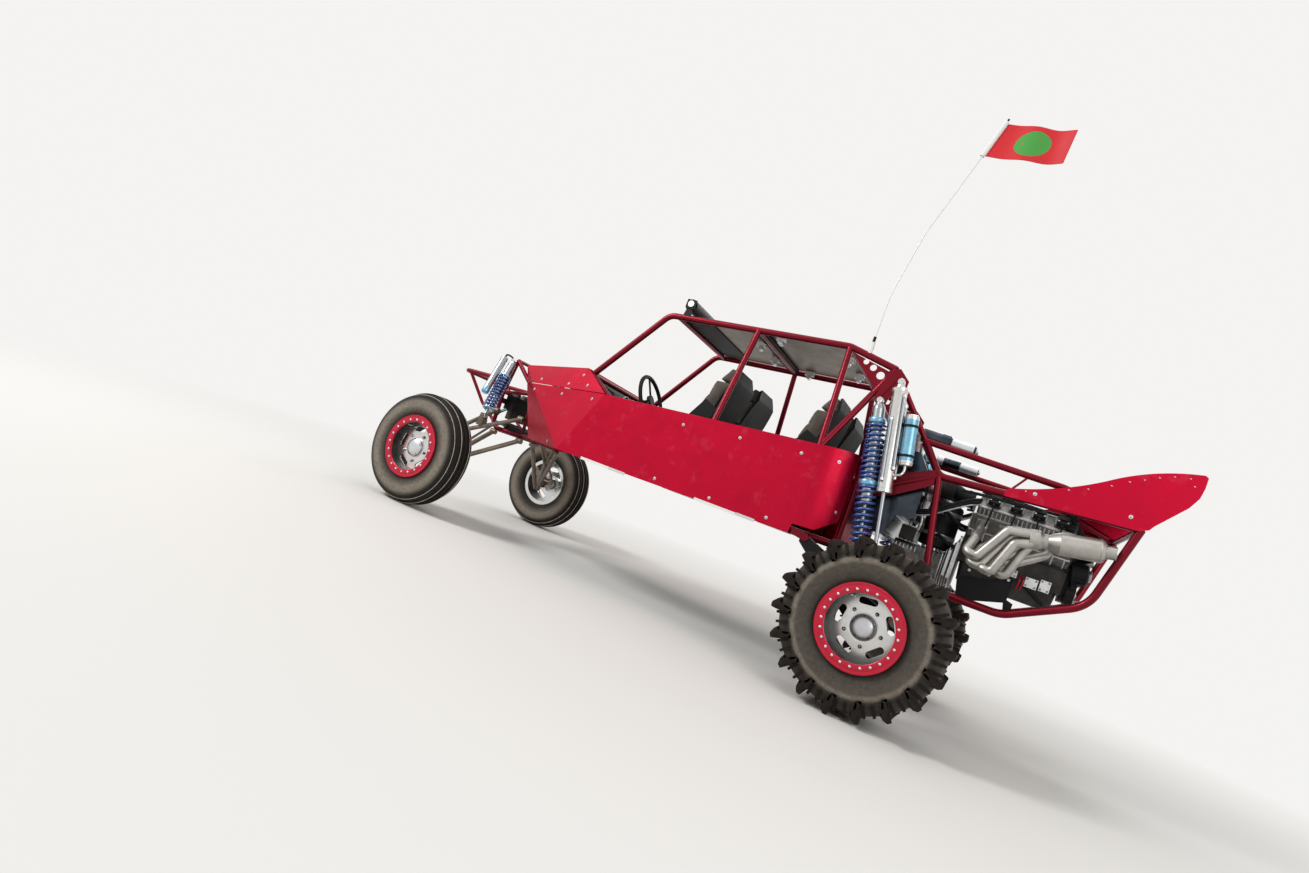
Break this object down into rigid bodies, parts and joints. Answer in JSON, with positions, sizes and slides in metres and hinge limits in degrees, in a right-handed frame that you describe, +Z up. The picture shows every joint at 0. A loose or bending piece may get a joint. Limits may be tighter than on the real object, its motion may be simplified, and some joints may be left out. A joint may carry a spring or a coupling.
{
  "type": "dune buggy",
  "caption": "Four-seat tube-frame sand car with open cab, long-travel suspension, exposed rear engine, paddle rear tyres, steering front wheels and a flag whip.",
  "frame": {"origin": "on the floor, under the middle of the overall box", "axes": "-X towards the nose, -Y the car's left side, +Z up"},
  "size_m": [4.7, 2.068, 3.3593],
  "materials": {
    "frame_paint": "gloss metallic",
    "body_paint": "gloss metallic",
    "black_metal": "satin",
    "roof_sheet": "satin",
    "black_plastic": "textured",
    "grip": "matt",
    "upholstery": "woven",
    "bare_metal": "satin",
    "shock": "polished",
    "spring": "gloss",
    "arm_paint": "satin",
    "tyre": "matt",
    "rim": "machined",
    "cast_metal": "cast",
    "exhaust": "satin",
    "whip": "gloss",
    "flag": "woven nylon"
  },
  "bodies": {
    "chassis": {"chassis_frame": "frame_paint", "roll_cage": "frame_paint", "front_frame": "frame_paint", "rear_frame": "frame_paint", "shock_towers": "frame_paint", "side_panel_left": "body_paint", "side_panel_right": "body_paint", "hood_panel": "body_paint", "tail_panels": "body_paint", "tail_deck": "body_paint", "belly_pan": "black_metal", "rear_bulkhead": "body_paint", "roof_panel": "roof_sheet", "dashboard": "black_plastic", "seat_front_left": "upholstery", "seat_front_right": "upholstery", "seat_rear_left": "upholstery", "seat_rear_right": "upholstery", "front_arms": "bare_metal", "rack_housing": "black_metal", "front_shocks": "shock", "trailing_arms": "arm_paint", "rear_coilovers": "spring", "bypass_shocks": "shock", "transaxle": "cast_metal", "half_shafts": "bare_metal", "engine": "cast_metal", "engine_drive": "black_metal", "exhausts": "exhaust", "radiator": "black_metal", "canisters": "black_metal", "light_bar": "black_metal", "whip": "whip", "flag": "flag"},
    "steer_left": {"knuckle_left": "bare_metal"},
    "steer_right": {"knuckle_right": "bare_metal"},
    "rack": {"tie_rods": "bare_metal"},
    "hand_wheel": {"steering_wheel": "grip"},
    "front_wheel_left": {"front_tyre_left": "tyre", "front_rim_left": "rim"},
    "front_wheel_right": {"front_tyre_right": "tyre", "front_rim_right": "rim"},
    "rear_wheel_left": {"rear_tyre_left": "tyre", "rear_rim_left": "rim"},
    "rear_wheel_right": {"rear_tyre_right": "tyre", "rear_rim_right": "rim"}
  },
  "joints": [
    {"name": "steer_left_turn", "type": "hinge", "parent": "chassis", "child": "steer_left", "pos_m": [-1.935, -0.665, 0.381], "axis": [0, 0, 1], "range_deg": [-28, 28]},
    {"name": "steer_right_turn", "type": "hinge", "parent": "chassis", "child": "steer_right", "pos_m": [-1.935, 0.665, 0.381], "axis": [0, 0, 1], "range_deg": [-29, 29]},
    {"name": "rack_slide", "type": "slide", "parent": "chassis", "child": "rack", "axis": [0, 1, 0], "range_m": [-0.0575, 0.0575]},
    {"name": "hand_wheel_turn", "type": "hinge", "parent": "chassis", "child": "hand_wheel", "pos_m": [-0.69701, -0.255, 1.23284], "axis": [0.9, 0, 0.436], "range_deg": [-254, 254]},
    {"name": "front_wheel_left_spin", "type": "hinge", "parent": "steer_left", "child": "front_wheel_left", "pos_m": [-1.935, -0.813, 0.381], "axis": [0, 1, 0], "continuous": true},
    {"name": "front_wheel_right_spin", "type": "hinge", "parent": "steer_right", "child": "front_wheel_right", "pos_m": [-1.935, 0.813, 0.381], "axis": [0, 1, 0], "continuous": true},
    {"name": "rear_wheel_left_spin", "type": "hinge", "parent": "chassis", "child": "rear_wheel_left", "pos_m": [1.17, -0.859, 0.43], "axis": [0, 1, 0], "continuous": true},
    {"name": "rear_wheel_right_spin", "type": "hinge", "parent": "chassis", "child": "rear_wheel_right", "pos_m": [1.17, 0.859, 0.43], "axis": [0, 1, 0], "continuous": true}
  ],
  "couplings": [
    {"joint": "steer_right_turn", "follows": "steer_left_turn", "ratio": 1},
    {"joint": "rack_slide", "follows": "steer_left_turn", "m_per_rad": 0.11528},
    {"joint": "hand_wheel_turn", "follows": "steer_left_turn", "ratio": 9}
  ]
}
